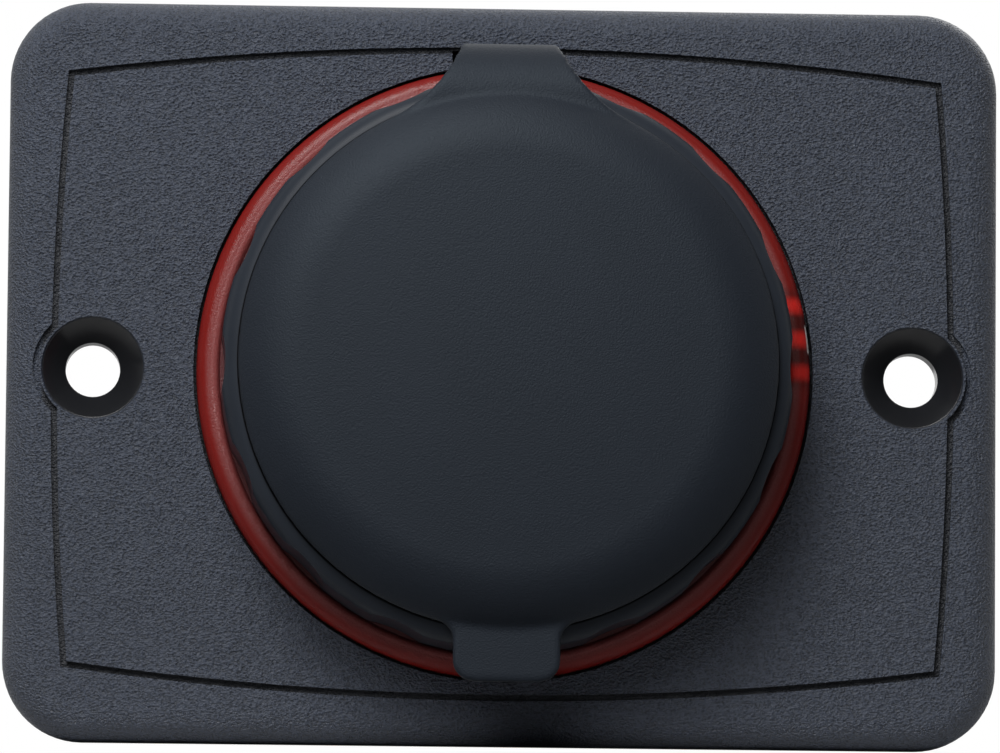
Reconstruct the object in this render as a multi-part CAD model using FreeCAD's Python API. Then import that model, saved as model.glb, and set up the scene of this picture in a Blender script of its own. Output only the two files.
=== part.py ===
import FreeCAD, Part
import math
import os

# Mounting plate: a moulded panel, hollow at the back, with a collar round the socket's hole
plate_width = 62.0
plate_height = 46.4
plate_thickness = 3.0
plate_corner_radius = 5.0
plate_edge_round = 1.9
plate_skin = 1.6
plate_rim = 1.8
collar_wall = 2.4
pocket_start = 13.0

# Screw holes at both ends of the plate, countersunk for flat heads
screw_inset = 5.4
screw_hole_radius = 1.7
screw_head_radius = 3.1
screw_boss_wall = 1.5

# Bowed groove round the plate's front, led round the outside of the screw heads
groove_side_inset = 3.0
groove_top_inset = 2.9
groove_bow_radius = 205.0
groove_width = 0.4
groove_depth = 0.35
groove_screw_gap = 0.45

# Bezel and recess at the front of the socket housing; heights are measured from the plate's front
bezel_radius = 17.7
bezel_height = 7.0
bezel_round = 1.2
bezel_wall = 2.7
flute_count = 16
flute_depth = 0.28
flute_radius = 8.5
face_ledge_height = 0.6

# Light ring: a see-through bead round the bezel, with a sleeve through the plate
ring_show = 1.45
ring_gap = 0.2
ring_seat_depth = 0.9
ring_land_height = 0.4
ring_crest_height = 0.7
ring_bead_width = 0.9
sleeve_wall = 1.1
sleeve_gap = 0.25
sleeve_end_gap = 0.2
light_slot_count = 3
light_slot_width = 1.3
light_slot_pitch_angle = 6.6
light_slot_angle = 7.2
light_slot_margin = 0.05
key_slot_width = 1.75

# Ring lamp: a narrow round board with lamps, let into the back of the bezel
lamp_wall = 0.67
lamp_groove_width = 1.3
lamp_groove_depth = 1.3
lamp_gap = 0.1
lamp_board_thickness = 0.5
lamp_count = 6
lamp_length = 1.6
lamp_height = 0.6

# Barrel: the threaded tube behind the plate, a step smaller than the register that centres the ring
barrel_step = 2.0
barrel_wall = 1.4
thread_pitch = 2.0
thread_depth = 0.65
thread_crest = 0.5
thread_base = 1.3
thread_sink = 0.3
thread_relief = 0.6
thread_lead = 1.2
register_wall = 0.15
register_gap = 0.2
register_end_gap = 0.3
rail_depth = 1.1
rail_thickness = 1.0

# Ring nut that pulls the bezel down on the plate, in a shallow seat in the plate's back
nut_gap = 0.2
nut_thread_gap = 0.15
nut_bearing = 2.55
nut_seat_depth = 0.4
nut_seat_gap = 0.3
nut_thickness = 8.0
nut_chamfer = 0.6
nut_grip_count = 12
nut_grip_radius = 2.4
nut_grip_depth = 1.1

# Rubber cap: a domed lid with a plug skirt, a pull tab below and a strap above; the strap narrows from
# the lid's rim in a hollow curve, towards a waist that lies past its bend
cap_inset = 1.05
cap_seat_gap = 0.2
cap_edge_wall = 0.5
cap_dome_height = 1.9
cap_dome_width = 4.2
skirt_gap = 0.3
skirt_wall = 1.1
skirt_depth = 2.4
tab_width = 6.6
tab_reach = 3.15
tab_corner_radius = 1.3
tab_fillet = 1.2
strap_thickness = 0.7
strap_waist = 4.56
strap_fillet = 9.3
strap_bend_radius = 3.6
strap_ring_gap = 0.2
strap_hinge_angle = 45.0
strap_hinge_gap = 0.5
foot_angle = 44.0
foot_thickness = 0.8
foot_gap = 0.25
foot_play_angle = 1.0

# Port face and the two charging ports, one on each side of the circuit board
face_thickness = 1.4
face_gap = 0.2
port_width = 13.1
port_height = 5.7
port_length = 14.0
port_sheet = 0.3
port_corner_radius = 0.6
port_setback = 0.1
port_window_gap = 0.2
tongue_width = 11.1
tongue_thickness = 1.8
tongue_length = 8.6
heel_length = 2.7
tongue_gap = 0.1
tongue_roof_gap = 0.6
contact_count = 4
contact_pitch = 2.4
contact_width = 1.0
contact_thickness = 0.2
contact_length = 7.0

# Circuit board and the parts of the voltage converter on it
board_thickness = 1.6
board_gap = 0.3
board_end_gap = 0.2
parts_gap = 1.2
terminal_gap = 0.9
coil_width = 7.0
coil_height = 4.0
coil_corner_radius = 1.2
capacitor_radius = 3.15
capacitor_height = 5.8
capacitor_foot = 0.9
chip_width = 4.9
chip_depth = 3.9
chip_height = 1.5
chip_lead_count = 4
chip_lead_pitch = 1.27
chip_lead_width = 0.4
chip_lead_reach = 1.0
chip_lead_thickness = 0.25
diode_width = 4.4
diode_depth = 2.6
diode_height = 2.2
diode_lead = 0.5

# Back cover and the two blade terminals through it
cover_thickness = 1.6
cover_chamfer = 0.5
cover_gap = 0.2
cover_spigot_length = 2.5
cover_spigot_wall = 1.3
blade_width = 6.3
blade_thickness = 0.8
blade_spacing = 10.4
blade_out = 8.2
blade_in = 5.0
blade_tip_length = 1.3
blade_tip_inset = 1.1
blade_hole_radius = 0.9
blade_hole_setback = 4.0
blade_gap = 0.15

V = FreeCAD.Vector
origin = V(0, 0, 0)
socket_axis = V(0, 1, 0)
right = V(1, 0, 0)
up = V(0, 0, 1)
half_right_angle = math.sqrt(0.5)
tiny = 1e-4
over = 1.0


# Planes and radii that several pieces share

def ahead(height):
    """The y of a plane that lies a height in front of the plate's face."""
    return -plate_thickness - height


plate_front = ahead(0)
plate_back = 0.0
nut_seat = plate_back - nut_seat_depth
screw_x = plate_width / 2 - screw_inset
bezel_crest = ahead(bezel_height)
face_ledge = ahead(face_ledge_height)
ring_land = ahead(ring_land_height)
ring_seat = ahead(-ring_seat_depth)
ring_radius = bezel_radius + ring_show
seat_radius = ring_radius + ring_gap
recess_radius = bezel_radius - bezel_wall
lamp_outer = bezel_radius - flute_depth - lamp_wall
lamp_inner = lamp_outer - lamp_groove_width
register_radius = lamp_inner - register_wall
sleeve_inner = register_radius + register_gap
sleeve_outer = sleeve_inner + sleeve_wall
hole_radius = sleeve_outer + sleeve_gap
nut_radius = hole_radius + nut_bearing
barrel_radius = register_radius - barrel_step
bore_radius = barrel_radius - barrel_wall
face_front = face_ledge - face_thickness
cap_radius = bezel_radius - cap_inset
cap_under = bezel_crest - cap_seat_gap
strap_front = cap_under - strap_thickness
strap_outer_z = ring_radius + strap_ring_gap + strap_thickness
bend_z = strap_outer_z - strap_bend_radius
bend_y = strap_front + strap_bend_radius
bend_middle = strap_bend_radius - strap_thickness / 2
foot_floor = ring_seat + foot_thickness
port_front = face_front + port_setback
port_back = port_front + port_length
port_z = board_thickness / 2 + port_height / 2
heel_front = port_back - heel_length
board_half_width = bore_radius - board_gap
board_front = face_ledge + board_end_gap
first_row = port_back + parts_gap + coil_width / 2
second_row = first_row + coil_width / 2 + parts_gap + chip_depth / 2 + chip_lead_reach
blade_start = second_row + chip_depth / 2 + chip_lead_reach + terminal_gap
board_back = blade_start + blade_in
spigot_front = board_back + board_end_gap
barrel_end = spigot_front + cover_spigot_length
register_end = nut_seat - register_end_gap
thread_start = register_end + thread_relief


# Building blocks

def turn_plane(radius, y):
    return V(radius, y, 0)


def front_plane(y):
    """Places (x, z) points in a plane that faces the front."""
    return lambda x, z: V(x, y, z)


def side_plane(x):
    """Places (y, z) points in a plane that faces sideways."""
    return lambda y, z: V(x, y, z)


def helix_plane(radius, along):
    """Places points of a thread's profile at the start of a helix, which is wound upwards."""
    return V(radius, 0, along)


def board_plane(z):
    """Places (x, y) points in a plane that lies flat like the board."""
    return lambda x, y: V(x, y, z)


def outline(place, start, *steps):
    """Flat face; a step is the next point, or a pair of points for an arc through the first one."""
    here = place(*start)
    edges = []
    for step in steps + (start,):
        if isinstance(step[0], tuple):
            through = place(*step[0])
            end = place(*step[1])
            edges.append(Part.Arc(here, through, end).toShape())
        else:
            end = place(*step)
            if here.distanceToPoint(end) > tiny:
                edges.append(Part.LineSegment(here, end).toShape())
        here = end
    return Part.Face(Part.Wire(edges))


def turned(start, *steps):
    """Solid turned about the socket's axis from (radius, y) points."""
    return outline(turn_plane, start, *steps).revolve(origin, socket_axis, 360)


def rounded(place, width, height, corner, x=0.0, z=0.0):
    """Rectangle with rounded corners, centred on (x, z)."""
    a = width / 2
    b = height / 2
    d = corner * (1 - half_right_angle)
    return outline(
        place,
        (x - a + corner, z - b), (x + a - corner, z - b),
        ((x + a - d, z - b + d), (x + a, z - b + corner)), (x + a, z + b - corner),
        ((x + a - d, z + b - d), (x + a - corner, z + b)), (x - a + corner, z + b),
        ((x - a + d, z + b - d), (x - a, z + b - corner)), (x - a, z - b + corner),
        ((x - a + d, z - b + d), (x - a + corner, z - b)),
    )


def bar(radius, y_low, y_high, x=0.0, z=0.0):
    """Round bar along the socket's axis, between two planes."""
    return Part.makeCylinder(radius, y_high - y_low, V(x, y_low, z), socket_axis)


def block(x_low, x_high, y_low, y_high, z_low, z_high):
    return Part.makeBox(x_high - x_low, y_high - y_low, z_high - z_low, V(x_low, y_low, z_low))


def around(shape, angle):
    """Copy turned about the socket's axis by an angle from the right towards the top."""
    copy = shape.copy()
    copy.rotate(origin, socket_axis, -angle)
    return copy


def spread(shape, count):
    """Copies of a shape evenly round the socket's axis."""
    return [around(shape, 360.0 * k / count) for k in range(count)]


def sector(inner, outer, y_low, y_high, middle, span):
    """Part of a flat ring, centred on an angle from the right towards the top."""
    profile = outline(turn_plane, (inner, y_low), (outer, y_low), (outer, y_high), (inner, y_high))
    return around(profile, middle + span / 2).revolve(origin, socket_axis, span)


def thread_ridge(start, end, gap=0.0):
    """Ridge wound on the barrel between two planes; a gap makes it larger, to cut a thread that runs on it."""
    slope = (thread_base - thread_crest) / (2 * thread_depth)
    root = barrel_radius - thread_sink
    crest = barrel_radius + thread_depth + gap
    half_crest = thread_crest / 2 + gap
    half_root = half_crest + slope * (crest - root)
    profile = outline(
        helix_plane, (root, -half_root), (crest, -half_crest), (crest, half_crest), (root, half_root))
    path = Part.Wire(Part.makeLongHelix(thread_pitch, end - start, barrel_radius).Edges)
    ridge = path.makePipeShell([profile.OuterWire], True, True)
    ridge.rotate(origin, right, -90)
    ridge.translate(V(0, start, 0))
    return ridge


def mirrored(shape):
    """Copy on the other side of the circuit board."""
    return shape.mirror(origin, up)


# Mounting plate

def bowed_panel(growth):
    """Panel inside the groove: four bowed sides, joined with a round pad at each screw."""
    half_width = plate_width / 2 - groove_side_inset
    half_height = plate_height / 2 - groove_top_inset
    floor = plate_front + groove_depth
    panel = None
    for reach, sideways in ((half_width, 1), (half_height, 0)):
        for side in (-1, 1):
            away = -side * (groove_bow_radius - reach)
            bow = bar(groove_bow_radius + growth, plate_front, floor, away * sideways, away * (1 - sideways))
            panel = panel.common(bow) if panel else bow
    pad_radius = screw_head_radius + groove_screw_gap + growth
    pads = [bar(pad_radius, plate_front, floor, side * screw_x) for side in (-1, 1)]
    return panel.fuse(pads)


def back_pockets(collar_radius):
    """Hollows at both ends of the plate's back, round the screw bosses and the collar."""
    floor = plate_front + plate_skin
    inner_width = plate_width - 2 * plate_rim
    inner_height = plate_height - 2 * plate_rim
    inner_corner = plate_corner_radius - plate_rim
    hollow = rounded(front_plane(floor), inner_width, inner_height, inner_corner)
    hollow = hollow.extrude(V(0, plate_back + over - floor, 0))
    low = floor - over
    high = plate_back + 2 * over
    boss_radius = screw_head_radius + screw_boss_wall
    kept = [bar(boss_radius, low, high, side * screw_x) for side in (-1, 1)]
    kept.append(bar(collar_radius, low, high))
    kept.append(block(-pocket_start, pocket_start, low, high, -plate_height, plate_height))
    return hollow.cut(kept)


def countersunk_hole(x):
    depth = screw_head_radius - screw_hole_radius
    cone = Part.makeCone(screw_head_radius, screw_hole_radius, depth, V(x, plate_front, 0), socket_axis)
    return [cone, bar(screw_hole_radius, plate_front, plate_back + over, x)]


def light_slots():
    """Slots through the ring's seat; the middle one is wider and reaches the seat's wall."""
    slots = []
    middle = (light_slot_count - 1) / 2
    for k in range(light_slot_count):
        reach = seat_radius if k == middle else ring_radius - light_slot_margin
        half_width = (key_slot_width if k == middle else light_slot_width) / 2
        slot = block(
            hole_radius - over, reach, plate_front - over, plate_back + over, -half_width, half_width)
        slots.append(around(slot, light_slot_angle + (k - middle) * light_slot_pitch_angle))
    return slots


def strap_half_width():
    """Half the width of the strap's leg, where the strap's hollow curve meets the leg's inner side."""
    middle_x = strap_waist / 2 + strap_fillet
    middle_z = math.sqrt((cap_radius + strap_fillet) ** 2 - middle_x ** 2)
    below = middle_z - (strap_outer_z - strap_thickness)
    return middle_x - math.sqrt(strap_fillet ** 2 - below ** 2)


def strap_notch():
    """Recess for the strap's foot under the ring, open to the front where the strap comes out."""
    span = foot_angle + 2 * foot_play_angle
    recess = sector(hole_radius - over, seat_radius, plate_front, foot_floor, 90, span)
    half_width = strap_half_width() + foot_gap
    top = strap_outer_z + foot_gap
    mouth = block(-half_width, half_width, plate_front - over, foot_floor, hole_radius, top)
    return [recess, mouth]


def mounting_plate():
    plate = rounded(front_plane(plate_front), plate_width, plate_height, plate_corner_radius)
    plate = plate.extrude(V(0, plate_thickness, 0))
    front_edges = [e for e in plate.Edges if all(abs(v.Y - plate_front) < tiny for v in e.Vertexes)]
    plate = plate.makeFillet(plate_edge_round, front_edges)
    groove = bowed_panel(groove_width / 2).cut(bowed_panel(-groove_width / 2))
    cuts = [groove, back_pockets(seat_radius + collar_wall)]
    cuts += countersunk_hole(-screw_x) + countersunk_hole(screw_x)
    cuts.append(bar(seat_radius, plate_front - over, ring_seat))
    cuts.append(bar(hole_radius, plate_front, plate_back + over))
    cuts.append(bar(nut_radius + nut_seat_gap, nut_seat, plate_back + over))
    cuts += light_slots() + strap_notch()
    return plate.cut(cuts)


# Light ring

def light_ring():
    crest = ahead(ring_crest_height)
    crest_radius = ring_radius - ring_bead_width
    outer_bulge = crest_radius + ring_bead_width * half_right_angle
    inner_bulge = crest_radius - (crest_radius - bezel_radius) * half_right_angle
    bulge = plate_front + (crest - plate_front) * half_right_angle
    inner_rise = ring_land + (crest - ring_land) * half_right_angle
    return turned(
        (sleeve_inner, ring_land), (bezel_radius, ring_land),
        ((inner_bulge, inner_rise), (crest_radius, crest)),
        ((outer_bulge, bulge), (ring_radius, plate_front)), (ring_radius, ring_seat),
        (sleeve_outer, ring_seat), (sleeve_outer, nut_seat - sleeve_end_gap),
        (sleeve_inner, nut_seat - sleeve_end_gap),
    )


# Socket housing

def board_rails():
    """Ribs inside the barrel that hold both edges of the circuit board."""
    rails = []
    inner = board_half_width - rail_depth
    low = board_thickness / 2 + board_end_gap
    for side in (-1, 1):
        x_low, x_high = sorted((side * inner, side * barrel_radius))
        for z_low in (low, -low - rail_thickness):
            rails.append(block(x_low, x_high, board_front, board_back, z_low, z_low + rail_thickness))
    tube = bar(bore_radius + barrel_wall / 2, board_front, board_back)
    return [rail.common(tube) for rail in rails]


def barrel_thread():
    """Thread of the barrel, which runs out under a cone at both ends."""
    clear = barrel_radius + 2 * thread_depth
    reach = 2 * thread_lead
    run = turned(
        (bore_radius, thread_start), (barrel_radius, thread_start), (clear, thread_start + reach),
        (clear, barrel_end - reach), (barrel_radius, barrel_end), (bore_radius, barrel_end),
    )
    return thread_ridge(thread_start, barrel_end).common(run)


def socket_housing():
    crest_radius = bezel_radius - bezel_round
    shoulder = bezel_crest + bezel_round
    bulge_radius = crest_radius + bezel_round * half_right_angle
    bulge = shoulder - bezel_round * half_right_angle
    housing = turned(
        (recess_radius, bezel_crest), (crest_radius, bezel_crest),
        ((bulge_radius, bulge), (bezel_radius, shoulder)), (bezel_radius, ring_land),
        (register_radius, ring_land), (register_radius, register_end), (barrel_radius, register_end),
        (barrel_radius, barrel_end), (bore_radius, barrel_end), (bore_radius, face_ledge),
        (recess_radius, face_ledge),
    )
    flute = bar(flute_radius, bezel_crest - over, ring_land + over, bezel_radius - flute_depth + flute_radius)
    lamp_floor = ring_land - lamp_groove_depth
    lamp_groove = turned(
        (lamp_inner, lamp_floor), (lamp_outer, lamp_floor), (lamp_outer, ring_land + over),
        (lamp_inner, ring_land + over),
    )
    housing = housing.cut(spread(flute, flute_count) + [lamp_groove])
    return housing.fuse(board_rails() + [barrel_thread()])


# Ring lamp

def lamp_board():
    floor = ring_land - lamp_groove_depth
    top = floor + lamp_board_thickness
    return bar(lamp_outer - lamp_gap, floor, top).cut(bar(lamp_inner + lamp_gap, floor, top))


def ring_lamps():
    low = ring_land - lamp_groove_depth + lamp_board_thickness
    inner = lamp_inner + 2 * lamp_gap
    outer = lamp_outer - 2 * lamp_gap
    lamp = block(inner, outer, low, low + lamp_height, -lamp_length / 2, lamp_length / 2)
    return Part.makeCompound(spread(lamp, lamp_count))


# Ring nut

def clamp_nut():
    inner = barrel_radius + nut_gap
    outer = nut_radius
    back = nut_seat + nut_thickness
    nut = turned(
        (inner + nut_chamfer, nut_seat), (outer - nut_chamfer, nut_seat),
        (outer, nut_seat + nut_chamfer), (outer, back - nut_chamfer),
        (outer - nut_chamfer, back), (inner + nut_chamfer, back),
        (inner, back - nut_chamfer), (inner, nut_seat + nut_chamfer),
    )
    grip = bar(nut_grip_radius, nut_seat - over, back + over, outer - nut_grip_depth + nut_grip_radius)
    thread = thread_ridge(thread_start - thread_pitch, back + thread_pitch, nut_thread_gap)
    return nut.cut(spread(grip, nut_grip_count) + [thread])


# Rubber cap with its tab and strap

def neck(width, fillet, length):
    """Front view of a strip that leaves the cap's rim upwards through two hollow curves."""
    middle_x = width / 2 + fillet
    middle_z = math.sqrt((cap_radius + fillet) ** 2 - middle_x ** 2)
    rim_x = middle_x * cap_radius / (cap_radius + fillet)
    rim_z = middle_z * cap_radius / (cap_radius + fillet)
    turn = (math.pi + math.atan2(rim_z - middle_z, rim_x - middle_x) % (2 * math.pi)) / 2
    hollow_x = middle_x + fillet * math.cos(turn)
    hollow_z = middle_z + fillet * math.sin(turn)
    top = middle_z + length
    face = outline(
        front_plane(0),
        (rim_x, rim_z), ((hollow_x, hollow_z), (width / 2, middle_z)), (width / 2, top),
        (-width / 2, top), (-width / 2, middle_z), ((-hollow_x, hollow_z), (-rim_x, rim_z)),
    )
    face.translate(V(0, bezel_crest - plate_width, 0))
    return face.extrude(V(0, 2 * plate_width, 0))


def on_bend(radius, angle):
    """Point of the strap's bend in the side view; 90 degrees faces the front, 0 the top."""
    turn = math.radians(angle)
    return (bend_y - radius * math.sin(turn), bend_z + radius * math.cos(turn))


def strap_section(face):
    """Side view of a strap piece, widened and cut to the strap's outline from the front."""
    face.translate(V(-plate_width / 2, 0, 0))
    return face.extrude(V(plate_width, 0, 0)).common(neck(strap_waist, strap_fillet, strap_bend_radius))


def hinge_place():
    return on_bend(bend_middle, strap_hinge_angle)


def protective_cap():
    edge = cap_under - cap_edge_wall
    crown = edge - cap_dome_height
    crown_radius = cap_radius - cap_dome_width
    dome_radius = (cap_dome_width ** 2 + cap_dome_height ** 2) / (2 * cap_dome_height)
    half_turn = math.asin(cap_dome_width / dome_radius) / 2
    dome_middle = (
        crown_radius + dome_radius * math.sin(half_turn),
        crown + dome_radius * (1 - math.cos(half_turn)),
    )
    skirt_outer = recess_radius - skirt_gap
    skirt_inner = skirt_outer - skirt_wall
    skirt_end = cap_under + skirt_depth
    lid = turned(
        (0, cap_under), (skirt_inner, cap_under), (skirt_inner, skirt_end), (skirt_outer, skirt_end),
        (skirt_outer, cap_under), (cap_radius, cap_under), (cap_radius, edge),
        (dome_middle, (crown_radius, crown)), (0, crown),
    )
    inner = strap_bend_radius - strap_thickness
    half_bend = (90 + strap_hinge_angle) / 2
    hinge_y, hinge_z = hinge_place()
    lean = math.radians(strap_hinge_angle)
    tip = (hinge_y + math.cos(lean) * strap_thickness / 2, hinge_z + math.sin(lean) * strap_thickness / 2)
    strap = strap_section(outline(
        side_plane(0),
        (strap_front, bend_z),
        (on_bend(strap_bend_radius, half_bend), on_bend(strap_bend_radius, strap_hinge_angle)),
        (tip, on_bend(inner, strap_hinge_angle)), (on_bend(inner, half_bend), (cap_under, bend_z)),
        (cap_under, 0), (strap_front, 0),
    ))
    tab_end = cap_radius + tab_reach
    tab = neck(tab_width, tab_fillet, tab_end)
    tab_plate = rounded(front_plane(strap_front), tab_width, 2 * tab_end, tab_corner_radius)
    root_half = tab_width / 2 + tab_fillet
    root_end = cap_radius + tab_fillet / 2
    root = block(-root_half, root_half, strap_front, cap_under, 0, root_end)
    tab = tab.common(tab_plate.extrude(V(0, strap_thickness, 0)).fuse(root))
    tab.rotate(origin, socket_axis, 180)
    return lid.fuse([strap, tab])


def cap_strap():
    """The strap's leg, its foot under the ring, and the rest of the bend up to the hinge."""
    inner = strap_bend_radius - strap_thickness
    half_bend = strap_hinge_angle / 2
    leg = strap_section(outline(
        side_plane(0),
        on_bend(strap_bend_radius, strap_hinge_angle),
        (on_bend(strap_bend_radius, half_bend), on_bend(strap_bend_radius, 0)),
        (foot_floor, strap_outer_z), (foot_floor, strap_outer_z - strap_thickness), on_bend(inner, 0),
        (on_bend(inner, half_bend), on_bend(inner, strap_hinge_angle)),
    ))
    hinge_y, hinge_z = hinge_place()
    clear = Part.makeCylinder(
        strap_thickness / 2 + strap_hinge_gap, plate_width, V(-plate_width / 2, hinge_y, hinge_z), right)
    foot_inner = hole_radius + foot_gap
    foot = sector(foot_inner, seat_radius - foot_gap, ring_seat, foot_floor, 90, foot_angle)
    half_width = strap_half_width()
    root_low = (foot_inner + seat_radius) / 2
    root = block(-half_width, half_width, ring_seat, foot_floor, root_low, strap_outer_z)
    return leg.cut(clear).fuse([foot, root])


# Port face and charging ports

def port_face():
    face = bar(recess_radius - face_gap, face_front, face_ledge)
    windows = []
    for side in (-1, 1):
        window = rounded(
            front_plane(face_front - over),
            port_width + 2 * port_window_gap, port_height + 2 * port_window_gap,
            port_corner_radius + port_window_gap, 0, side * port_z)
        windows.append(window.extrude(V(0, face_thickness + 2 * over, 0)))
    return face.cut(windows)


def port_shell():
    outer = rounded(front_plane(port_front), port_width, port_height, port_corner_radius, 0, port_z)
    inner = rounded(
        front_plane(port_front), port_width - 2 * port_sheet, port_height - 2 * port_sheet,
        port_corner_radius - port_sheet, 0, port_z)
    return outer.cut(inner).extrude(V(0, port_length, 0))


def tongue_top():
    return port_z + port_height / 2 - port_sheet - tongue_roof_gap


def port_tongue():
    """Insulator at the back of the port with the tongue that carries the contacts."""
    half_width = port_width / 2 - port_sheet - tongue_gap
    half_height = port_height / 2 - port_sheet - tongue_gap
    heel = block(-half_width, half_width, heel_front, port_back, port_z - half_height, port_z + half_height)
    top = tongue_top()
    tongue = block(
        -tongue_width / 2, tongue_width / 2, heel_front - tongue_length, heel_front,
        top - tongue_thickness, top)
    return heel.fuse(tongue).removeSplitter()


def port_contacts():
    under = tongue_top() - tongue_thickness
    strips = []
    for k in range(contact_count):
        x = (k - (contact_count - 1) / 2) * contact_pitch
        strips.append(block(
            x - contact_width / 2, x + contact_width / 2, heel_front - contact_length, heel_front,
            under - contact_thickness, under))
    return Part.makeCompound(strips)


# Circuit board and the voltage converter on it

def circuit_board():
    low = -board_thickness / 2
    return block(-board_half_width, board_half_width, board_front, board_back, low, -low)


def power_coil():
    coil = rounded(
        board_plane(board_thickness / 2), coil_width, coil_width, coil_corner_radius,
        -coil_width / 2 - parts_gap, first_row)
    return coil.extrude(V(0, 0, coil_height))


def capacitor(x):
    """Round can on a square foot with two cut corners."""
    low = board_thickness / 2
    a = capacitor_radius
    b = a - capacitor_foot
    y = first_row
    foot = outline(
        board_plane(low),
        (x - a, y - a), (x + a, y - a), (x + a, y + b), (x + b, y + a), (x - b, y + a), (x - a, y + b),
    ).extrude(V(0, 0, capacitor_foot))
    can_height = capacitor_height - capacitor_foot
    can = Part.makeCylinder(capacitor_radius, can_height, V(x, y, low + capacitor_foot), up)
    return foot.fuse(can)


def converter_chip():
    x = -chip_width / 2 - parts_gap
    y = second_row
    low = board_thickness / 2
    chip = block(
        x - chip_width / 2, x + chip_width / 2, y - chip_depth / 2, y + chip_depth / 2,
        low + chip_lead_thickness / 2, low + chip_height)
    leads = []
    for k in range(chip_lead_count):
        lead_x = x + (k - (chip_lead_count - 1) / 2) * chip_lead_pitch
        half_reach = chip_depth / 2 + chip_lead_reach
        leads.append(block(
            lead_x - chip_lead_width / 2, lead_x + chip_lead_width / 2, y - half_reach, y + half_reach,
            low, low + chip_lead_thickness))
    return chip.fuse(leads)


def rectifier_diode():
    x = diode_width / 2 + parts_gap
    y = second_row
    low = board_thickness / 2
    body = block(
        x - diode_width / 2, x + diode_width / 2, y - diode_depth / 2, y + diode_depth / 2,
        low + chip_lead_thickness / 2, low + diode_height)
    lead = block(
        x - diode_width / 2 - diode_lead, x + diode_width / 2 + diode_lead, y - diode_depth / 4,
        y + diode_depth / 4, low, low + chip_lead_thickness)
    return body.fuse(lead)


# Back cover and terminals

def back_cover():
    spigot = bore_radius - cover_gap
    end = barrel_end + cover_thickness
    cover = turned(
        (0, barrel_end), (spigot - cover_spigot_wall, barrel_end), (spigot - cover_spigot_wall, spigot_front),
        (spigot, spigot_front), (spigot, barrel_end), (barrel_radius, barrel_end),
        (barrel_radius, end - cover_chamfer), (barrel_radius - cover_chamfer, end), (0, end),
    )
    slots = []
    for side in (-1, 1):
        x = side * blade_spacing / 2
        half_width = blade_width / 2 + blade_gap
        slots.append(block(
            x - half_width, x + half_width, spigot_front - over, end + over,
            board_thickness / 2 - blade_gap, board_thickness / 2 + blade_thickness + blade_gap))
    return cover.cut(slots)


def blade_terminal(side):
    """Flat blade soldered to the board, through the cover, with a tapered tip and a latch hole."""
    x = side * blade_spacing / 2
    low = board_thickness / 2
    end = barrel_end + cover_thickness + blade_out
    a = blade_width / 2
    tip = a - blade_tip_inset
    blade = outline(
        board_plane(low),
        (x - a, blade_start), (x + a, blade_start), (x + a, end - blade_tip_length),
        (x + tip, end), (x - tip, end), (x - a, end - blade_tip_length),
    ).extrude(V(0, 0, blade_thickness))
    hole = Part.makeCylinder(
        blade_hole_radius, blade_thickness + 2 * over, V(x, end - blade_hole_setback, low - over), up)
    return blade.cut(hole)


pieces = {
    "mounting_plate": mounting_plate(),
    "light_ring": light_ring(),
    "socket_housing": socket_housing(),
    "lamp_board": lamp_board(),
    "ring_lamps": ring_lamps(),
    "clamp_nut": clamp_nut(),
    "protective_cap": protective_cap(),
    "cap_strap": cap_strap(),
    "port_face": port_face(),
    "upper_port_shell": port_shell(),
    "upper_port_tongue": port_tongue(),
    "upper_port_contacts": port_contacts(),
    "lower_port_shell": mirrored(port_shell()),
    "lower_port_tongue": mirrored(port_tongue()),
    "lower_port_contacts": mirrored(port_contacts()),
    "circuit_board": circuit_board(),
    "power_coil": power_coil(),
    "input_capacitor": capacitor(capacitor_radius + parts_gap),
    "output_capacitor": mirrored(capacitor(0.0)),
    "converter_chip": converter_chip(),
    "rectifier_diode": rectifier_diode(),
    "back_cover": back_cover(),
    "plus_terminal": blade_terminal(1),
    "minus_terminal": blade_terminal(-1),
}

os.makedirs("parts", exist_ok=True)
for name, shape in pieces.items():
    shape.exportStep("parts/" + name + ".step")
    print(name, len(shape.Solids), "solids", round(shape.Volume, 2), "cubic mm", shape.isValid())
hinge_y, hinge_z = hinge_place()
print("cap hinge at y", round(hinge_y, 4), "z", round(hinge_z, 4))
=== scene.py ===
import math
import bmesh
import bpy
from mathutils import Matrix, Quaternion, Vector


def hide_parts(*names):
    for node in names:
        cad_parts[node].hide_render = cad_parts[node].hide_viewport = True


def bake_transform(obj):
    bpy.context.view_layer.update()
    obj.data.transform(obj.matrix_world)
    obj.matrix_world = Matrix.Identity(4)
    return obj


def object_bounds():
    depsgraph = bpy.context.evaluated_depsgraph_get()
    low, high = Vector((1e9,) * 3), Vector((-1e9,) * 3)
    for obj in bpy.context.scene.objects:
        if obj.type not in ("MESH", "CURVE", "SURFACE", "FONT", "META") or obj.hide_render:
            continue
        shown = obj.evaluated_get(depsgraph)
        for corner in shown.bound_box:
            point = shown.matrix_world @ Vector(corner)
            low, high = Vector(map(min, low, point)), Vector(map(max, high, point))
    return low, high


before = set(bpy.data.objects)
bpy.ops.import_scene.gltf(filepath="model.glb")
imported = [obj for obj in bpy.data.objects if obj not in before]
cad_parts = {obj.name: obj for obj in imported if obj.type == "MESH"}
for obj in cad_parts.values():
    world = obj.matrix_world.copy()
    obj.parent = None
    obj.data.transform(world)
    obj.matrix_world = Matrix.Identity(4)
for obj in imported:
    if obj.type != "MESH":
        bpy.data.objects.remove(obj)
cad_low, cad_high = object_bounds()


# Mounting plate
# The panel that carries the socket, injection moulded in black plastic in a spark-eroded tool, which
# leaves a fine leathery grain on its front. The two screw seats are left smooth, and the groove's floor
# is painted darker as painted shade.

mm = 0.001


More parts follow.
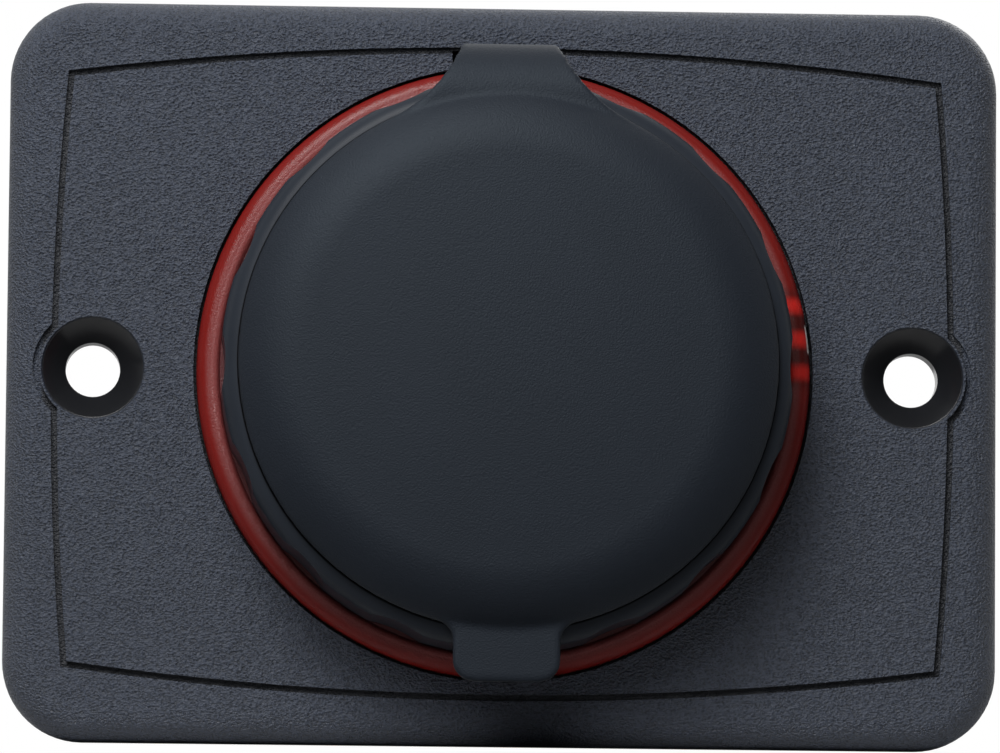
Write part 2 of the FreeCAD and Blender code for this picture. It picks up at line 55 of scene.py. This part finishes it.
class Wire:
    """A value in a material's nodes. Sums and products of wires add Math nodes."""

    def __init__(self, tree, socket=None):
        self.tree = tree
        self.socket = socket

    def add(self, kind, settings=None, sockets=None, output=0):
        """Adds a node of any kind: its settings first, then the values or links of its sockets."""
        node = self.tree.nodes.new(kind)
        for name, value in (settings or {}).items():
            setattr(node, name, value)
        for name, value in (sockets or {}).items():
            if isinstance(value, Wire):
                self.tree.links.new(value.socket, node.inputs[name])
            else:
                node.inputs[name].default_value = value
        return Wire(self.tree, node.outputs[output])

    def out(self, name):
        """Another output of the node that this value comes from."""
        return Wire(self.tree, self.socket.node.outputs[name])

    def maths(self, operation, first, second=0.0):
        return self.add("ShaderNodeMath", {"operation": operation}, {0: first, 1: second})

    def __add__(self, other):
        return self.maths("ADD", self, other)

    def __radd__(self, other):
        return self.maths("ADD", other, self)

    def __sub__(self, other):
        return self.maths("SUBTRACT", self, other)

    def __rsub__(self, other):
        return self.maths("SUBTRACT", other, self)

    def __mul__(self, other):
        return self.maths("MULTIPLY", self, other)

    def __rmul__(self, other):
        return self.maths("MULTIPLY", other, self)

    def __pow__(self, other):
        return self.maths("POWER", self, other)

    def step(self, low, high):
        """0 below low, 1 above high, and a smooth rise between them."""
        return self.add(
            "ShaderNodeMapRange", {"interpolation_type": "SMOOTHSTEP"},
            {"Value": self, "From Min": low, "From Max": high})

    def mix(self, first, second):
        """The first colour where this mask is 0 and the second where it is 1."""
        return self.add("ShaderNodeMix", {"data_type": "RGBA"}, {0: self, 6: first, 7: second}, output=2)


def new_finish(name, **sockets):
    """A material whose even values are set on its shader; returns it with a wire and the shader."""
    material = bpy.data.materials.new(name)
    material.use_nodes = True
    shader = material.node_tree.nodes["Principled BSDF"]
    for socket, value in sockets.items():
        shader.inputs[socket.replace("_", " ")].default_value = value
    return material, Wire(material.node_tree), shader


def feed(shader, name, wire):
    """Links a value to a socket of a shader."""
    wire.tree.links.new(wire.socket, shader.inputs[name])


def rest_place(wire):
    """Where a point of the piece is at rest, in metres; it moves with the piece."""
    return wire.add("ShaderNodeTexCoord", output="Object")


def axes(place):
    """The x, y and z of a place."""
    x = place.add("ShaderNodeSeparateXYZ", None, {"Vector": place})
    return x, x.out("Y"), x.out("Z")


def noise(place, size, detail=2.0, roughness=0.5):
    """Cloudy grey texture whose lumps are about this size."""
    return place.add(
        "ShaderNodeTexNoise", None,
        {"Vector": place, "Scale": 1 / size, "Detail": detail, "Roughness": roughness})


def stretch(place, amount):
    """A place with each axis multiplied, which draws a texture out along the small ones."""
    return place.add("ShaderNodeVectorMath", {"operation": "MULTIPLY"}, {0: place, 1: amount})


def bump(height, depth):
    """Surface relief of a height from 0 to 1, over this depth in metres."""
    return height.add("ShaderNodeBump", None, {"Height": height, "Distance": depth}, output="Normal")


def dress(node, material):
    """Gives a piece its finish."""
    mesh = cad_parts[node].data
    mesh.materials.clear()
    mesh.materials.append(material)


def plate_finish():
    screw_x = 25.6 * mm
    seat_radius = 3.1 * mm
    seat_blend = 0.15 * mm
    front = -3.0 * mm
    groove_lip = 0.12 * mm
    groove_floor = 0.3 * mm
    edge_x = 28.6 * mm
    edge_z = 20.8 * mm
    edge_blend = 0.3 * mm
    grain_size = 0.11 * mm
    pore_size = 0.15 * mm
    cloud_size = 7 * mm
    relief_depth = 0.23 * mm
    hollow_shade_black = (0.0138, 0.0171, 0.0243, 1)
    crest_highlight_black = (0.0395, 0.0488, 0.0716, 1)
    smooth_seat_and_groove_shade_black = (0.009, 0.0095, 0.011, 1)
    material, wire, shader = new_finish("plate_plastic", Specular_IOR_Level=0.45)
    place = rest_place(wire)
    x, y, z = axes(place)
    across = wire.maths("ABSOLUTE", x)
    upward = wire.maths("ABSOLUTE", z)
    end = across - screw_x
    from_screw = (end * end + z * z) ** 0.5
    smooth = 1 - from_screw.step(seat_radius, seat_radius + seat_blend)
    inside = (1 - across.step(edge_x, edge_x + edge_blend)) * (
        1 - upward.step(edge_z, edge_z + edge_blend))
    # The groove's floor is painted darker: painted shade in the groove.
    groove_shade = y.step(front + groove_lip, front + groove_floor) * inside
    drawn = stretch(place, (0.78, 1.0, 1.0))
    grain = noise(drawn, grain_size, 2.0, 0.55)
    pores = wire.add(
        "ShaderNodeTexVoronoi", {"feature": "SMOOTH_F1"},
        {"Vector": drawn, "Scale": 1 / pore_size, "Smoothness": 0.4})
    relief = grain * 0.75 + pores * 0.45
    cloud = noise(place, cloud_size)
    # The grain's hollows take a darker colour and its crests a lighter one: painted shade and painted
    # highlight, with a faint random cloud.
    light = (relief.step(0.36, 0.72) * 0.8 + cloud * 0.2).mix(hollow_shade_black, crest_highlight_black)
    dark = wire.maths("MAXIMUM", smooth, groove_shade * 0.8)
    feed(shader, "Base Color", dark.mix(light, smooth_seat_and_groove_shade_black))
    feed(shader, "Roughness", 0.42 + grain * 0.12 - smooth * 0.26)
    feed(shader, "Normal", bump(relief * (1 - smooth), relief_depth))
    return material


dress("mounting_plate", plate_finish())


# Light ring
# A bead of see-through red plastic round the bezel, let into the plate from the front. Its face is
# lightly frosted, so that the lamps behind it light it evenly. A paler band on the bead's inner half is a
# painted highlight, and the land under the bezel's flutes is painted darker as painted shade. On the
# right, over the plate's three slots, the bead has painted glow spots, a painted white sliver of daylight
# and painted shade round them.

def ring_finish():
    land_edge = 17.6 * mm
    bead_start = 18.0 * mm
    highlight_start = 18.1 * mm
    highlight_end = 18.75 * mm
    slot_middle = 2.3 * mm
    slot_pitch = 2.1 * mm
    gap_start = 19.0 * mm
    gap_full = 19.06 * mm
    land_shade_red = (0.10, 0.028, 0.030, 1)
    deep_red = (0.18, 0.0055, 0.0032, 1)
    highlight_pink = (0.27, 0.09, 0.088, 1)
    shaded_red = (0.03, 0.004, 0.003, 1)
    lit_red = (0.62, 0.022, 0.016, 1)
    painted_daylight = (0.85, 0.82, 0.80, 1)
    material, wire, shader = new_finish(
        "ring_plastic", Transmission_Weight=0.2, IOR=1.49, Specular_IOR_Level=0.16)
    place = rest_place(wire)
    x, y, z = axes(place)
    radius = (x * x + z * z) ** 0.5
    bead = radius.step(land_edge, bead_start)
    # A paler band round the bead's inner half is a painted highlight, with frosted specks in it.
    highlight_band = bead * (1 - radius.step(highlight_start, highlight_end))
    speck = noise(place, 0.12 * mm)
    cloud = noise(place, 3 * mm)
    # pale is the strength of the painted highlight, with specks and a faint random cloud.
    pale = highlight_band * 0.6 * (0.4 + 1.2 * speck) + cloud * 0.1
    at_slots = x.step(0.0, 1 * mm) * bead
    off = wire.maths("ABSOLUTE", z - slot_middle)
    # Round the three slots the bead is painted darker: painted shade.
    slot_shade = at_slots * (1 - off.step(2.2 * mm, 3.6 * mm))
    near = wire.maths("MINIMUM", off, wire.maths("ABSOLUTE", off - slot_pitch))
    # Three bright spots over the slots are painted glow.
    glow = at_slots * (1 - near.step(0.1 * mm, 0.8 * mm))
    # A thin white sliver at the bead's outer edge over the slots is painted daylight.
    painted_sliver = at_slots * radius.step(gap_start, gap_full) * (1 - off.step(0.7 * mm, 1.0 * mm))
    shown = pale.mix(deep_red, highlight_pink)
    shown = (slot_shade * 0.75).mix(shown, shaded_red)
    shown = glow.mix(shown, lit_red)
    shown = painted_sliver.mix(shown, painted_daylight)
    # Under the bezel's flutes the land takes a darker red: painted shade.
    feed(shader, "Base Color", bead.mix(land_shade_red, shown))
    feed(shader, "Roughness", 0.26 + 0.14 * speck)
    feed(shader, "Normal", bump(speck, 0.03 * mm))
    return material


dress("light_ring", ring_finish())


# Socket housing
# One moulding in polished black plastic: the fluted bezel in front of the plate and the threaded barrel
# behind it. Round the crest where the cap's rim sits on it, a thin black ring is painted shade in the
# gap.

def housing_finish():
    bezel_end = -3.2 * mm
    barrel_start = -2.8 * mm
    line_start = 16.5 * mm
    line_dark = 16.6 * mm
    line_fade = 16.68 * mm
    line_end = 16.76 * mm
    deep_black = (0.0165, 0.0198, 0.0260, 1)
    worn_black = (0.0215, 0.0260, 0.0340, 1)
    gap_shade_black = (0.001, 0.001, 0.0015, 1)
    material, wire, shader = new_finish("bezel_plastic", Specular_IOR_Level=0.1)
    place = rest_place(wire)
    x, y, z = axes(place)
    behind = y.step(bezel_end, barrel_start)
    smear = noise(place, 2.5 * mm, 4.0)
    fine = noise(place, 0.15 * mm)
    radius = (x * x + z * z) ** 0.5
    # A thin ring on the crest under the cap's rim is painted shade in the gap.
    gap_shade = radius.step(line_start, line_dark) * (1 - radius.step(line_fade, line_end)) * (1 - behind)
    feed(shader, "Base Color", gap_shade.mix(smear.mix(deep_black, worn_black), gap_shade_black))
    feed(shader, "Roughness", 0.36 + smear * 0.1 + behind * 0.1 + gap_shade * 0.5)
    feed(shader, "Normal", bump(fine, 0.006 * mm))
    return material


dress("socket_housing", housing_finish())


# Lamp board and ring lamps
# A narrow ring of coated laminate glued into the back of the bezel, with small lamps soldered on it
# that shine into the light ring.

def board_finish():
    dark_green = (0.010, 0.075, 0.030, 1)
    light_green = (0.018, 0.12, 0.05, 1)
    material, wire, shader = new_finish("board_laminate", Specular_IOR_Level=0.5)
    place = rest_place(wire)
    weave = wire.add(
        "ShaderNodeTexWave", {"wave_type": "BANDS", "bands_direction": "DIAGONAL"},
        {"Vector": place, "Scale": 260.0, "Distortion": 1.0})
    cloud = noise(place, 1.2 * mm)
    feed(shader, "Base Color", cloud.mix(dark_green, light_green))
    feed(shader, "Roughness", 0.28 + cloud * 0.15)
    feed(shader, "Normal", bump(weave, 0.01 * mm))
    return material


def lens_finish():
    amber = (0.75, 0.62, 0.30, 1)
    pale_amber = (0.85, 0.78, 0.55, 1)
    material, wire, shader = new_finish("lamp_lens", Transmission_Weight=0.3)
    cloud = noise(rest_place(wire), 0.5 * mm)
    feed(shader, "Base Color", cloud.mix(amber, pale_amber))
    feed(shader, "Roughness", 0.15 + cloud * 0.2)
    return material


board_laminate = board_finish()
dress("lamp_board", board_laminate)
dress("ring_lamps", lens_finish())


# Port face and charging ports
# A round plastic plate on a ledge in the bezel, with a window for each port. A port is a tube folded
# from steel sheet round a white insulator, whose tongue carries four plated contacts.

def face_finish():
    deep_black = (0.014, 0.014, 0.016, 1)
    grain_black = (0.022, 0.022, 0.025, 1)
    material, wire, shader = new_finish("face_plastic", Specular_IOR_Level=0.35)
    grain = noise(rest_place(wire), 0.25 * mm, 3.0)
    feed(shader, "Base Color", grain.mix(deep_black, grain_black))
    feed(shader, "Roughness", 0.5 + grain * 0.15)
    feed(shader, "Normal", bump(grain, 0.04 * mm))
    return material


def steel_finish():
    dull_steel = (0.50, 0.50, 0.49, 1)
    bright_steel = (0.66, 0.66, 0.65, 1)
    material, wire, shader = new_finish("port_steel", Metallic=1.0)
    lines = noise(stretch(rest_place(wire), (1.0, 0.05, 1.0)), 0.08 * mm, 3.0)
    feed(shader, "Base Color", lines.mix(dull_steel, bright_steel))
    feed(shader, "Roughness", 0.22 + lines * 0.2)
    feed(shader, "Normal", bump(lines, 0.008 * mm))
    return material


def tongue_finish():
    grey_white = (0.66, 0.66, 0.63, 1)
    clean_white = (0.74, 0.74, 0.71, 1)
    material, wire, shader = new_finish("tongue_plastic", Specular_IOR_Level=0.4)
    cloud = noise(rest_place(wire), 0.8 * mm)
    feed(shader, "Base Color", cloud.mix(grey_white, clean_white))
    feed(shader, "Roughness", 0.4 + cloud * 0.1)
    return material


def metal_finish(name, low, high, size):
    """Bright rolled metal with a faint streak."""
    material, wire, shader = new_finish(name, Metallic=1.0)
    streak = noise(rest_place(wire), size, 3.0)
    feed(shader, "Base Color", streak.mix(low, high))
    feed(shader, "Roughness", 0.18 + streak * 0.2)
    return material


dress("port_face", face_finish())
port_steel = steel_finish()
tongue_plastic = tongue_finish()
contact_metal = metal_finish("contact_metal", (0.70, 0.47, 0.16, 1), (0.80, 0.58, 0.24, 1), 0.3 * mm)
for side in ("upper", "lower"):
    dress(side + "_port_shell", port_steel)
    dress(side + "_port_tongue", tongue_plastic)
    dress(side + "_port_contacts", contact_metal)


# Circuit board
# A laminate board slid between rails in the barrel. It carries the converter that turns the car's
# supply into the ports' voltage: a moulded coil, two metal-can capacitors, a chip and a diode.

def moulded_finish(name, low, high, rough, grain_size):
    """Plain dark moulded plastic with a fine grain."""
    material, wire, shader = new_finish(name, Specular_IOR_Level=0.35)
    place = rest_place(wire)
    grain = noise(place, grain_size, 3.0)
    cloud = noise(place, 4 * mm)
    feed(shader, "Base Color", cloud.mix(low, high))
    feed(shader, "Roughness", rough + grain * 0.15)
    feed(shader, "Normal", bump(grain, 0.03 * mm))
    return material


dress("circuit_board", board_laminate)
part_black = moulded_finish(
    "part_black", (0.020, 0.020, 0.021, 1), (0.032, 0.032, 0.034, 1), 0.45, 0.2 * mm)
for node in ("power_coil", "converter_chip", "rectifier_diode"):
    dress(node, part_black)
can_metal = metal_finish("can_metal", (0.62, 0.62, 0.64, 1), (0.74, 0.74, 0.76, 1), 0.6 * mm)
for node in ("input_capacitor", "output_capacitor"):
    dress(node, can_metal)


# Back cover and terminals
# A stepped plug of black plastic closes the barrel. Two brass blades, soldered to the board, come out
# through slots in it and take push-on connectors.

nut_plastic = moulded_finish(
    "nut_plastic", (0.016, 0.016, 0.018, 1), (0.026, 0.026, 0.029, 1), 0.38, 0.3 * mm)
dress("back_cover", nut_plastic)
blade_metal = metal_finish("terminal_metal", (0.62, 0.47, 0.20, 1), (0.74, 0.58, 0.28, 1), 0.5 * mm)
for node in ("plus_terminal", "minus_terminal"):
    dress(node, blade_metal)


# Clamp nut
# A ring nut moulded in the same black plastic as the back cover, with a thread inside. It is turned up
# the barrel by hand until the bezel sits tight on the plate.

dress("clamp_nut", nut_plastic)


# Rubber cap
# Lid, pull tab, strap and foot are one moulding in soft black rubber. The foot is trapped under the
# light ring, and the strap's bend is the hinge that the lid opens on.

sheet = 0.7 * mm
sheet_middle = -10.55 * mm
foot_floor = -1.3 * mm
foot_roof = -2.1 * mm
forward = Vector((0, -1, 0))
full_turn = 2 * math.pi


def join_rings(solid, near, far):
    """Faces between two rings of as many points."""
    for i in range(len(near)):
        j = (i + 1) % len(near)
        solid.faces.new((near[i], near[j], far[j], far[i]))


def sweep(solid, stations, half_thickness):
    """Flat strip through stations of (middle, outward direction, half width)."""
    rows = []
    for middle, outward, half in stations:
        rows.append([
            solid.verts.new(middle + outward * (half_thickness * up) + Vector((half * side, 0, 0)))
            for side, up in ((-1, -1), (1, -1), (1, 1), (-1, 1))])
    for near, far in zip(rows, rows[1:]):
        join_rings(solid, near, far)
    solid.faces.new(rows[0])
    solid.faces.new(rows[-1])


def turn_profile(solid, profile, steps, start=0.0, span=full_turn):
    """Turns a closed (radius, y) profile about the socket's axis."""
    rows = []
    closed = span >= full_turn
    for k in range(steps if closed else steps + 1):
        angle = start + span * k / steps
        rows.append([solid.verts.new((r * math.cos(angle), y, r * math.sin(angle))) for r, y in profile])
    for near, far in zip(rows, rows[1:]):
        join_rings(solid, near, far)
    if closed:
        join_rings(solid, rows[-1], rows[0])
    else:
        solid.faces.new(rows[0])
        solid.faces.new(rows[-1])


def rubber_lid(solid):
    under = -10.2 * mm
    edge = -10.7 * mm
    crown = -12.6 * mm
    rim = 16.65 * mm
    crown_radius = 12.45 * mm
    crown_slope = math.radians(3.2)
    skirt_inner = 13.6 * mm
    skirt_outer = 14.7 * mm
    skirt_end = -7.8 * mm
    centre = 0.001 * mm
    arc_steps = 24
    turn_steps = 256
    width = rim - crown_radius
    height = edge - crown
    dome = (width ** 2 + height ** 2) / (2 * height)
    sweep_angle = math.asin(width / dome)
    profile = [
        (centre, under), (skirt_inner, under), (skirt_inner, skirt_end), (skirt_outer, skirt_end),
        (skirt_outer, under), (rim, under), (rim, edge)]
    for k in range(1, arc_steps + 1):
        angle = sweep_angle + (crown_slope - sweep_angle) * k / arc_steps
        profile.append((crown_radius + dome * math.sin(angle), crown + dome * (1 - math.cos(angle))))
    shoulder, shoulder_y = profile[-1]
    bow = shoulder / math.sin(crown_slope)
    for k in range(1, arc_steps + 1):
        angle = crown_slope * (1 - k / arc_steps)
        rise = bow * (math.cos(angle) - math.cos(crown_slope))
        profile.append((max(bow * math.sin(angle), centre), shoulder_y - rise))
    turn_profile(solid, profile, turn_steps)


def strap_half(height):
    """Half width of the strap, which flares into the lid's rim through a hollow curve."""
    flare = 9.3 * mm
    waist = 2.28 * mm
    straight = 23.22 * mm
    below = min(straight - height, 0.9 * flare)
    return waist + flare - math.sqrt(flare ** 2 - below ** 2)


def rubber_strap(solid):
    root = 14.6 * mm
    bend_y = -7.3 * mm
    bend_z = 16.45 * mm
    bend = 3.25 * mm
    straight_steps = 20
    bend_steps = 40
    stations = []
    for k in range(straight_steps):
        height = root + (bend_z - root) * k / straight_steps
        stations.append((Vector((0, sheet_middle, height)), forward, strap_half(height)))
    for k in range(bend_steps + 1):
        angle = math.pi / 2 * (1 - k / bend_steps)
        outward = Vector((0, -math.sin(angle), math.cos(angle)))
        middle = Vector((0, bend_y, bend_z)) + outward * bend
        stations.append((middle, outward, strap_half(middle.z)))
    for k in range(1, straight_steps + 1):
        middle = Vector((0, bend_y + (foot_floor - bend_y) * k / straight_steps, bend_z + bend))
        stations.append((middle, Vector((0, 0, 1)), strap_half(middle.z)))
    sweep(solid, stations, sheet / 2)


def rubber_tab(solid):
    root = 14.5 * mm
    end = 19.8 * mm
    half = 3.3 * mm
    corner = 1.3 * mm
    fillet = 1.2 * mm
    straight = 17.27 * mm
    steps = 80
    stations = []
    for k in range(steps + 1):
        reach = root + (end - root) * k / steps
        below = min(max(straight - reach, 0.0), 0.97 * fillet)
        past = max(reach - (end - corner), 0.0)
        width = half + fillet - math.sqrt(fillet ** 2 - below ** 2)
        width -= corner - math.sqrt(max(corner ** 2 - past ** 2, 0.0))
        stations.append((Vector((0, sheet_middle, -reach)), forward, width))
    sweep(solid, stations, sheet / 2)


def rubber_foot(solid):
    inner = 17.1 * mm
    outer = 19.1 * mm
    start = math.radians(68)
    span = math.radians(44)
    steps = 40
    neck_low = 18.2 * mm
    neck_high = 20.05 * mm
    neck_half = 3.1 * mm
    profile = [(inner, foot_roof), (outer, foot_roof), (outer, foot_floor), (inner, foot_floor)]
    turn_profile(solid, profile, steps, start, span)
    middle_y = (foot_roof + foot_floor) / 2
    stations = [(Vector((0, middle_y, height)), forward, neck_half) for height in (neck_low, neck_high)]
    sweep(solid, stations, (foot_floor - foot_roof) / 2)


def rubber_cap():
    solid = bmesh.new()
    rubber_lid(solid)
    rubber_strap(solid)
    rubber_tab(solid)
    rubber_foot(solid)
    bmesh.ops.recalc_face_normals(solid, faces=solid.faces)
    mesh = bpy.data.meshes.new("rubber_cap")
    solid.to_mesh(mesh)
    solid.free()
    return mesh


def new_object(name, data):
    """An object of the scene that shows this mesh, lamp or camera."""
    thing = bpy.data.objects.new(name, data)
    bpy.context.scene.collection.objects.link(thing)
    return thing


def fuse_moulding(piece, voxel, rounds):
    """Runs the overlapping solids of a piece into one skin with softened edges."""
    remesh = piece.modifiers.new("fuse", "REMESH")
    remesh.mode = "VOXEL"
    remesh.voxel_size = voxel
    remesh.use_smooth_shade = True
    soften = piece.modifiers.new("soften", "SMOOTH")
    soften.factor = 0.5
    soften.iterations = rounds
    shaped = bpy.data.meshes.new_from_object(piece.evaluated_get(bpy.context.evaluated_depsgraph_get()))
    piece.modifiers.clear()
    piece.data = shaped
    shaped.polygons.foreach_set("use_smooth", [True] * len(shaped.polygons))


def rubber_finish():
    deep_black = (0.0060, 0.0078, 0.0120, 1)
    dusty_black = (0.0082, 0.0106, 0.0162, 1)
    material, wire, shader = new_finish(
        "cap_rubber", Specular_IOR_Level=0.27, Specular_Tint=(0.78, 0.9, 1.0, 1))
    place = rest_place(wire)
    fine = noise(place, 0.11 * mm)
    cloud = noise(place, 6 * mm, 3.0)
    feed(shader, "Base Color", cloud.mix(deep_black, dusty_black))
    feed(shader, "Roughness", 0.56 + fine * 0.12)
    feed(shader, "Normal", bump(fine, 0.035 * mm))
    return material


cap = new_object("rubber_cap", rubber_cap())
cap.data.materials.append(rubber_finish())
fuse_moulding(cap, voxel=0.2 * mm, rounds=3)
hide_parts("protective_cap", "cap_strap")
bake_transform(cap)


# Studio
# A wide pale floor lies just under the plate's lower edge, in a white surround. Two soft lamps shine from
# the upper left in front and a large one from behind. Seen from below the floor lets the view through,
# because the photograph looks slightly upwards.

def floor_finish():
    grey_end = -14 * mm
    pale_start = -5 * mm
    grey = (0.25, 0.25, 0.25, 1)
    pale = (0.7, 0.7, 0.7, 1)
    seen_grey = (0.22, 0.22, 0.22, 1)
    seen_glow = (0.52, 0.52, 0.52, 1)
    material, wire, shader = new_finish(
        "studio_floor", Emission_Strength=1.0, Roughness=0.9, Specular_IOR_Level=0.1)
    x, y, z = axes(rest_place(wire))
    bounced = y.step(grey_end, pale_start).mix(grey, pale)
    seen = wire.add("ShaderNodeLightPath", output="Is Camera Ray")
    feed(shader, "Base Color", seen.mix(bounced, seen_grey))
    feed(shader, "Emission Color", seen.mix((0, 0, 0, 1), seen_glow))
    back = wire.add("ShaderNodeNewGeometry", output="Backfacing")
    solid = Wire(material.node_tree, shader.outputs[0])
    clear = wire.add("ShaderNodeBsdfTransparent")
    both = wire.add("ShaderNodeMixShader", None, {0: back, 1: solid, 2: clear})
    feed(material.node_tree.nodes["Material Output"], "Surface", both)
    return material


def studio_floor():
    half = 3.0
    height = cad_low.z - 0.1 * mm
    corners = [(half * x, half * y, height) for x, y in ((-1, -1), (1, -1), (1, 1), (-1, 1))]
    mesh = bpy.data.meshes.new("floor")
    mesh.from_pydata(corners, [], [(0, 1, 2, 3)])
    mesh.materials.append(floor_finish())
    new_object("floor", mesh)


def studio_world():
    """White to the camera, and dim in front for gloss, with a faint glow round the view."""
    fill = 0.08
    world = bpy.data.worlds.new("studio")
    bpy.context.scene.world = world
    world.use_nodes = True
    wire = Wire(world.node_tree)
    path = wire.add("ShaderNodeLightPath", output="Is Camera Ray")
    seen = wire.maths("MAXIMUM", path, path.out("Is Transmission Ray"))
    glossy = path.out("Is Glossy Ray")
    x, y, z = axes(wire.add("ShaderNodeTexCoord", output="Generated"))
    ahead = y * -1
    mirrored = 1.0 - 0.88 * ahead.step(-0.1, 0.25) + 0.2 * ahead.step(0.6, 0.95)
    strength = seen + (1 - seen) * (glossy * mirrored + (1 - glossy) * fill)
    background = world.node_tree.nodes["Background"]
    background.inputs["Color"].default_value = (1, 1, 1, 1)
    feed(background, "Strength", strength)


def soft_lamp(name, place, size, watts):
    """A round lamp of this width that shines on the socket, with its place in metres."""
    data = bpy.data.lights.new(name, "AREA")
    data.shape = "DISK"
    data.size = size
    data.energy = watts
    lamp = new_object(name, data)
    lamp.location = place
    lamp.rotation_mode = "QUATERNION"
    lamp.rotation_quaternion = (-Vector(place)).to_track_quat("-Z", "Y")


studio_floor()
studio_world()
soft_lamp("main_lamp", (-0.05, -0.165, 0.115), size=0.13, watts=0.33)
soft_lamp("back_lamp", (0.3, 0.6, 0.45), size=0.4, watts=1.6)
soft_lamp("top_lamp", (-0.058, -0.155, 0.175), size=0.106, watts=0.34)


# Camera
# A long lens half a metre away, a little below and to the left of the socket's axis, and turned half a
# degree. Its place and length let the plate fill the picture as it does in the photograph.

def photo_camera():
    azimuth = math.radians(-2.5)
    elevation = math.radians(-6.0)
    roll = math.radians(0.5)
    distance = 510 * mm
    aim = Vector((-0.22, -3.0, -0.22)) * mm
    data = bpy.data.cameras.new("camera")
    data.sensor_width = 36.0
    data.lens = 294.3
    data.clip_start = 0.01
    level = math.cos(elevation)
    toward = Vector((math.sin(azimuth) * level, -math.cos(azimuth) * level, math.sin(elevation)))
    camera = new_object("camera", data)
    camera.location = aim + toward * distance
    camera.rotation_mode = "QUATERNION"
    camera.rotation_quaternion = (-toward).to_track_quat("-Z", "Y") @ Quaternion((0, 0, 1), roll)
    bpy.context.scene.camera = camera


photo_camera()
bpy.context.scene.view_settings.view_transform = "Standard"
